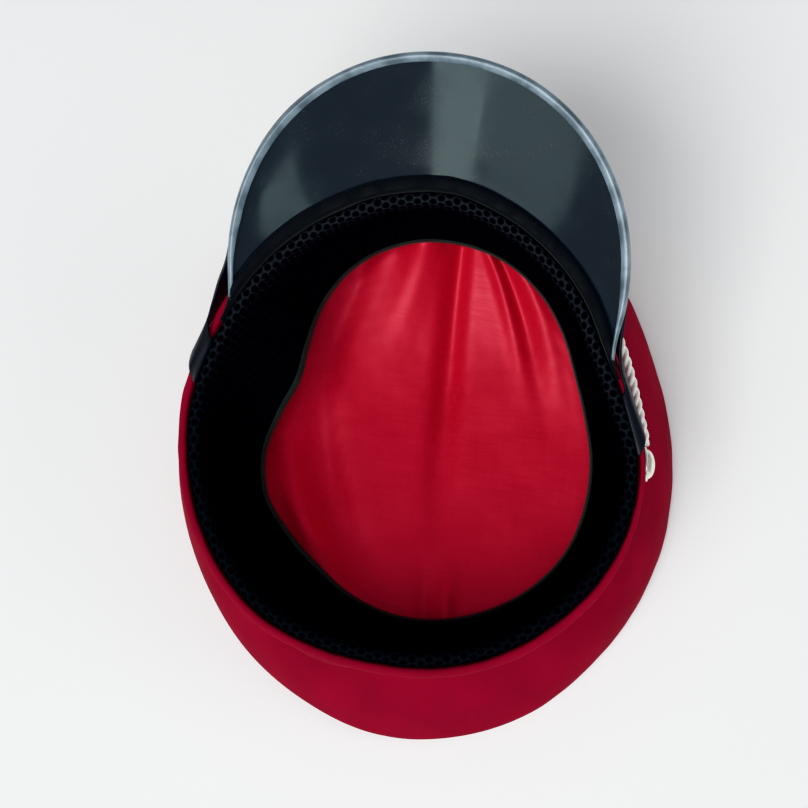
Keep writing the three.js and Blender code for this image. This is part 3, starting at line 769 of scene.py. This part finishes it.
# The sweatband's deep edge is bound in a folded tape, a little wavy where it was gathered
def sweatband_binding(finish):
    def chain(bearing):
        inner = sweat_wall(bearing)
        end, above = np.stack(inner[3]), np.stack(inner[2])
        back = (above - end) / np.linalg.norm(above - end, axis=0)
        middle = end + np.stack([back[1], -back[0]]) * SWEAT_WALL / 2
        side = np.stack([-back[1], back[0]])
        section = tape_section(wide=3, tape=0.6, inside=SWEAT_WALL / 2 + GAP)
        return [tuple(middle + back * along + side * across) for along, across in section]

    grid = ring_of(chain, sections=480)
    waves = 0.35 * uneven(grid[:, :1], pitch=15, seed=41)
    grid = grid + UP * waves[..., None]
    return piece("sweatband_binding_tape", [shell(grid, repeat=RIB)], finish, "sweatband_binding")


# How much a point of the satin is lifted by its folds: each is a soft ridge or valley along a bent line,
# narrow where it begins and wider where it ends
def fold_lift(x, y):
    lift = 0
    for fold in LINING_FOLDS:
        a, b, c = (np.array(fold[key], float) for key in ("start", "middle", "end"))
        begins, dies = fold["fades"]
        bend = 2 * b - (a + c) / 2
        length = np.linalg.norm(c - a)
        steps = int(1.6 * length / fold["wide"] ** 0.5)
        for t in (np.arange(steps) + 0.5) / steps:
            at = (1 - t) ** 2 * a + 2 * t * (1 - t) * bend + t * t * c
            wide = fold["wide"] * (0.6 + 0.7 * t)
            shown = ease((1 - t) / dies) * (ease(t / begins) if begins else 1)
            share = shown * (length / steps) / wide / math.sqrt(math.pi)
            away = (x - at[0]) ** 2 + (y - at[1]) ** 2
            lift = lift + fold["rise"] * share * np.exp(-away / wide ** 2)
    return lift


# The satin lining hangs from behind the sweatband and lies on the crown's floor in long soft folds. Most of
# its rise from the floor to the wall is in view, and the rest is behind the sweatband.
def lining(finish):
    def chain(bearing):
        inside, outside = edge(bearing), foot(bearing) - 8
        rows = [(seam(bearing) - 1.8, -9), (band_face(bearing, -30) - CLOTH - 1.6, -30)]
        for share in (*np.linspace(1, 0.04, 26), 0):
            reach = share * outside
            in_view = 0.92 * np.minimum(reach / inside, 1) ** 2.4
            behind = 0.08 * np.clip((reach - inside) / (outside - inside), 0, 1)
            above = LINING_FLOOR + (lining_rise(bearing) - LINING_FLOOR) * (in_view + behind)
            rows.append((reach, over_table(bearing, reach, above)))
        return rows

    face = smooth(ring_of(chain, sections=420), 4)
    lying = np.clip((-25 - face[..., 2]) / 12, 0, 1)
    slack = 0.3 * uneven(face, pitch=30, seed=51) + 0.05 * uneven(face, pitch=8, seed=52)
    lift = fold_lift(face[..., 0], face[..., 1]) + slack
    face = face + UP * (lift * lying)[..., None]
    made = piece("satin_lining", [shell(wall(face, LINING_WALL))], finish, "lining")
    return made


# The peak at s, from -1 at its left end to 1 at its right: where it bends up out of its flange,
# its rim, the way from one to the other, and the normal of its upper face
def peak_at(s):
    bearing = PEAK_ROOT["left"] + (PEAK_ROOT["right"] - PEAK_ROOT["left"]) * (s + 1) / 2
    turn = s * PEAK_RIM["sweep"]
    swell = np.sqrt(np.maximum(1 - s ** 4, 0))
    flange = PEAK_ROOT["flange_end"] + (PEAK_ROOT["flange"] - PEAK_ROOT["flange_end"]) * swell
    bend = place(bearing, seam(bearing) + flange, PEAK_ROOT["height"])
    level_x = PEAK_RIM["shift"] + PEAK_RIM["radius"] * sin(turn)
    level_y = PEAK_RIM["forward"] + PEAK_RIM["radius"] * cos(turn)
    level = np.hypot(level_x - bend[:, 0], level_y - bend[:, 1])
    end = np.stack([level_x, level_y, bend[:, 2] + level * np.tan(np.radians(PEAK["slope"]))], -1)
    out = unit(end - bend)
    side = unit(np.stack([-out[:, 1], out[:, 0], 0 * level], -1))
    normal = unit(np.cross(out, side))
    return {"bearing": bearing, "flange": flange, "bend": bend, "rim": end, "out": out, "normal": normal}


# The peak: a pressed sheet with a flange under the seam, rising from it and a little hollow across
def peak(finish):
    s = np.linspace(-1, 1, 181)
    at = peak_at(s)
    root = place(at["bearing"], seam(at["bearing"]) + 0.9, PEAK_ROOT["height"] - 0.5)
    rows = [root, root * 0.4 + at["bend"] * 0.6]
    for t in (0.03, 0.08, *np.linspace(0.15, 0.99, 12)):
        sag = PEAK["sag"] * np.sin(np.pi * t) * (1 - s ** 4)
        rows.append(at["bend"] * (1 - t) + at["rim"] * t - at["normal"] * sag[:, None])
    upper = smooth(np.stack(rows, 1), 2)
    down = -at["normal"][:, None] * PEAK["thick"]
    nose = at["rim"][:, None] + down / 2
    grid = np.concatenate([upper, nose, (upper + down)[:, ::-1]], 1)
    return piece("peak_sheet", [shell(grid, ring=False)], finish, "peak")


# The peak's rim is held in a silver-grey edging, which narrows at each end and is tucked under the seam tape
def peak_trim(finish):
    s = np.linspace(-1, 1, 281)
    at = peak_at(s)
    half = PEAK["thick"] / 2
    tuck = ease((np.abs(s) - 0.93) / 0.07)[:, None]
    under = np.where(s > 0, PEAK_ROOT["right"] + 2, PEAK_ROOT["left"] - 1.5)
    middle = (at["rim"] - at["normal"] * half) * (1 - tuck) + place(under, seam(under) + 0.9, 5.4) * tuck
    inward = unit(np.cross(np.gradient(middle, axis=0), at["normal"]))
    inward = inward * -np.sign((inward * at["out"]).sum())
    narrow = np.clip(np.linalg.norm(at["rim"] - at["bend"], axis=-1) / 18, 0.3, 1)[:, None]
    rows = []
    for depth, across in tape_section(TRIM["wide"], TRIM["wall"], half + GAP):
        deep = depth * narrow if depth > 0 else depth * (1 - tuck / 2)
        rows.append(middle + inward * deep + at["normal"] * across * (1 - 0.6 * tuck))
    return piece("peak_edging", [shell(np.stack(rows, 1), ring=False)], finish, "peak_trim")


# A tape covers the seam where the peak goes in under the hem, and runs out along the seam on both sides,
# where it is flatter and narrower. Its section is drawn from the seam.
def peak_welt(finish):
    s = np.linspace(-1.12, 1.12, 301)
    at = peak_at(s)
    bearing = at["bearing"]
    full = ease((1.1 - np.abs(s)) / 0.12)
    flange = 0.7 + (at["flange"] - 0.7) * full
    lip = np.minimum(1.2, 0.3 * flange) * full
    low_end = 2.3
    low = low_end + (PEAK_ROOT["height"] + GAP - low_end) * full
    section = [(0.15, 0.8), (0.5, 2.1), (0.6, low), (flange, low), (flange + lip, low + 1.1 * lip),
               (flange + 0.6 * lip, low + 1.75 * lip + 0.3), (flange / 2, low + 0.9 + full),
               (-0.1, low + 0.5 + 0.7 * full), (-0.7, low + 0.1), (-0.85, 2 + 0.6 * full), (-0.75, 1.7),
               (-0.3, 0.75)]
    grid = in_space(bearing, [(seam(bearing) + out, height) for out, height in section])
    grid = smooth(grid, 4, joined=True)
    grid = push(grid, 0.08 * uneven(grid, pitch=6, seed=61), ring=False)
    return piece("peak_welt_tape", [shell(grid, ring=False)], finish, "peak_welt")


# More points on a curve through given ones, with knots spaced by the root of their distance
def through(points, per):
    points = np.concatenate([[2 * points[0] - points[1]], points, [2 * points[-1] - points[-2]]])
    fine = []
    for i in range(len(points) - 3):
        p0, p1, p2, p3 = points[i:i + 4]
        d0, d1, d2 = (max(np.linalg.norm(b - a), 1e-6) ** 0.5 for a, b in ((p0, p1), (p1, p2), (p2, p3)))
        m1 = ((p1 - p0) / d0 - (p2 - p0) / (d0 + d1) + (p2 - p1) / d1) * d1
        m2 = ((p2 - p1) / d1 - (p3 - p1) / (d1 + d2) + (p3 - p2) / d2) * d1
        for t in np.arange(per) / per:
            h = (2 * t ** 3 - 3 * t * t + 1, t ** 3 - 2 * t * t + t, 3 * t * t - 2 * t ** 3, t ** 3 - t * t)
            fine.append(h[0] * p1 + h[1] * m1 + h[2] * p2 + h[3] * m2)
    return np.array(fine + [points[-2]])


# The chin strap lies under the peak's rim; at each end it twists on edge, turns over the hem and goes in.
# It peeps out past the rim at the left front.
def chin_strap(finish):
    def on_side(side, key):
        turn = 1 if side == "right" else -1
        points = []
        for row in STRAP_END[side]:
            bearing, clear, height = row[key]
            points.append(place(turn * bearing, band_face(turn * bearing, height) + clear, height))
        return np.array(points)

    def whole(key, middle):
        return through(np.concatenate([on_side("left", key), middle, on_side("right", key)[::-1]]), 10)

    s = np.linspace(-0.78, 0.78, 17)
    at = peak_at(s)
    peep = -0.8 + 1.3 * np.exp(-(((s + 0.5) / 0.28) ** 2))
    fore_middle = at["rim"] + at["out"] * peep[:, None] - at["normal"] * STRAP["under"]
    fore = whole("fore", fore_middle)
    hind = whole("hind", fore_middle - at["out"] * STRAP["wide"])
    along = unit(np.gradient(fore, axis=0) + np.gradient(hind, axis=0))
    width = hind - fore
    normal = unit(np.cross(along, width))
    half = STRAP["thick"] / 2
    edge_round = [(0.035, 1), (0.01, 0.7), (0, 0), (0.01, -0.7), (0.035, -1)]
    inner_points = (0.25, 0.5, 0.75)
    across = edge_round + [(t, -1) for t in inner_points] + [(1 - t, -h) for t, h in edge_round]
    across += [(t, 1) for t in inner_points[::-1]]
    rows = [fore + width * t + normal * half * h for t, h in across]
    return piece("chin_strap_leather", [shell(np.stack(rows, 1), ring=False)], finish, "chin_strap")


# The cord: three strands laid round each other, from button to button under the peak
def cord(finish):
    radius, pitch = CORD["radius"], CORD["pitch"]
    half = math.degrees((BUTTON["radius"] + GAP) / band_face(BUTTON["bearing"], CORD["height"]))
    bearing = np.linspace(half - BUTTON["bearing"], BUTTON["bearing"] - half, 520)
    reach = band_face(bearing, CORD["height"]) + GAP + radius + 0.2
    middle = place(bearing, reach, CORD["height"])
    far = run(middle[:, None], 0)
    out = place(bearing, 1 + 0 * bearing, 0)
    taper = np.clip(np.minimum(far, far[-1] - far) / 4, 0, 1) ** 0.5 * 0.45 + 0.55
    strand, laid = 0.54 * radius, 0.49 * radius
    shells = []
    for k in range(CORD["strands"]):
        turn = np.degrees(far / pitch * 2 * np.pi) + k * 360 / CORD["strands"]
        centre = middle + (out * cos(turn)[:, None] + UP * sin(turn)[:, None]) * (laid * taper)[:, None]
        rows = [centre + (out * cos(a) + UP * sin(a)) * (strand * taper)[:, None] for a in bearings(12)]
        shells.append(shell(np.stack(rows, 1), ring=False))
    return piece("twisted_cord", shells, finish, "cord")


# A side button: a domed face on a narrow rolled rim, flat against the band
def side_button(side, name, finish):
    bearing, radius = side * BUTTON["bearing"], BUTTON["radius"]
    height = CORD["height"]
    step = math.degrees(radius / band_face(bearing, height))

    def on_band(b, h):
        return place(b, band_face(b, h), h)

    across = on_band(bearing + step, height) - on_band(bearing - step, height)
    down = on_band(bearing, height - radius) - on_band(bearing, height + radius)
    outward = unit(np.cross(across, down))
    outward = outward * np.sign((outward * on_band(bearing, 0)).sum())
    level = unit(across)
    upright = np.cross(outward, level)
    rim_high, inner = BUTTON["rim"], radius - 1.1
    spring = rim_high + 0.3
    profile = [(0, 0.2), (radius - 1.2, 0.2), (radius - 0.5, 0.1), (radius, 0.4), (radius, rim_high),
               (radius - 0.35, rim_high + 0.35), (radius - 0.8, rim_high + 0.2), (inner, spring)]
    profile += [(inner * math.cos(t), spring + (BUTTON["dome"] - spring) * math.sin(t))
                for t in np.radians([12, 24, 36, 48, 60, 72, 82, 90])]
    seat = on_band(bearing, height) + outward * 2 * GAP
    turns = bearings(64)
    spokes = cos(turns)[:, None] * level + sin(turns)[:, None] * upright
    rows = [seat + reach * spokes + high * outward for reach, high in profile]
    return piece(name + "_dome", [shell(np.stack(rows, 1))], finish, name)


# Each light: where it stands and how large it is, in metres, its power in watts, its colour and whether it
# shows in glossy surfaces. The key is high behind the cap, the panels are low and show in the polished peak,
# and the fill lightens the cap's right side.
LIGHTS = [
    {"name": "key softbox", "at": (-0.45, -0.95, 1.25), "size": (1.3, 1.0), "power": 26, "tint": "#ffffff",
     "shows": True},
    {"name": "fill", "at": (1.3, 0.2, 0.8), "size": (0.8, 0.8), "power": 7, "tint": "#ffffff",
     "shows": False},
    {"name": "middle panel", "at": (-0.27, -1.5, 0.62), "size": (0.5, 0.6), "power": 1.9, "tint": "#e0ffff",
     "shows": True},
    {"name": "left panel", "at": (0.9, -1.0, 0.72), "size": (0.35, 0.35), "power": 0.45, "tint": "#e0ffff",
     "shows": True},
    {"name": "right panel", "at": (-0.8, -1.3, 0.42), "size": (0.7, 0.5), "power": 1.0, "tint": "#e0ffff",
     "shows": True},
]


def light(row):
    aim = Vector((0, 0, 0.06))
    data = bpy.data.lights.new(row["name"], "AREA")
    data.shape = "RECTANGLE"
    data.size, data.size_y = row["size"]
    data.energy = row["power"]
    data.color = colour(row["tint"])[:3]
    lamp = bpy.data.objects.new(row["name"], data)
    lamp.location = row["at"]
    lamp.rotation_euler = (aim - lamp.location).to_track_quat("-Z", "Y").to_euler()
    lamp.visible_camera = False
    lamp.visible_glossy = row["shows"]
    bpy.context.scene.collection.objects.link(lamp)


# Matt floor paper, faintly uneven in tone
def floor_paper():
    uneven_mm = 400
    material, node, mm = start("floor paper", Roughness=0.9)
    grain = node("TexNoise", Vector=mm, Scale=1 / uneven_mm, Detail=2.0)
    tint = node("Mix", **COLOURS, Factor=grain, A=colour("#efeeec"), B=colour("#f4f4f3"))
    return finished(material, "floor", tint)


# A pale floor, a pale room and soft studio lights
def stage():
    bpy.ops.mesh.primitive_plane_add(size=6, location=(0, 0, 0))
    floor = bpy.context.object
    floor.name = "floor"
    floor.data.materials.append(floor_paper()[0])
    world = bpy.data.worlds.new("room")
    world.use_nodes = True
    background = world.node_tree.nodes["Background"]
    background.inputs["Color"].default_value = colour("#e8eef4")
    background.inputs["Strength"].default_value = 0.45
    bpy.context.scene.world = world
    for row in LIGHTS:
        light(row)
    bpy.context.scene.view_settings.view_transform = "Khronos PBR Neutral"


def dress_cap():
    cloth = wool_cloth("wool cloth", "red_cloth", "#7a0d22", "#860f26")
    piping_cloth = wool_cloth("wool cloth on the bias", "red_piping", "#84102a", "#921530")
    net = spacer_net()
    metal = silvered_brass()
    crown_top(cloth)
    crown_side(cloth)
    crown_piping(piping_cloth)
    band(cloth)
    sweatband(net)
    sweatband_binding(woven_tape("binding tape", "grey_tape", "#454b49", "#181b1a"))
    lining(satin())
    peak(polished_pvc())
    peak_trim(silver_edging())
    peak_welt(woven_tape("seam tape", "black_tape", "#0d0e13", "#050608"))
    chin_strap(strap_leather())
    cord(rayon_cord())
    side_button(1, "side_button_right", metal)
    side_button(-1, "side_button_left", metal)


camera()
dress_cap()
stage()
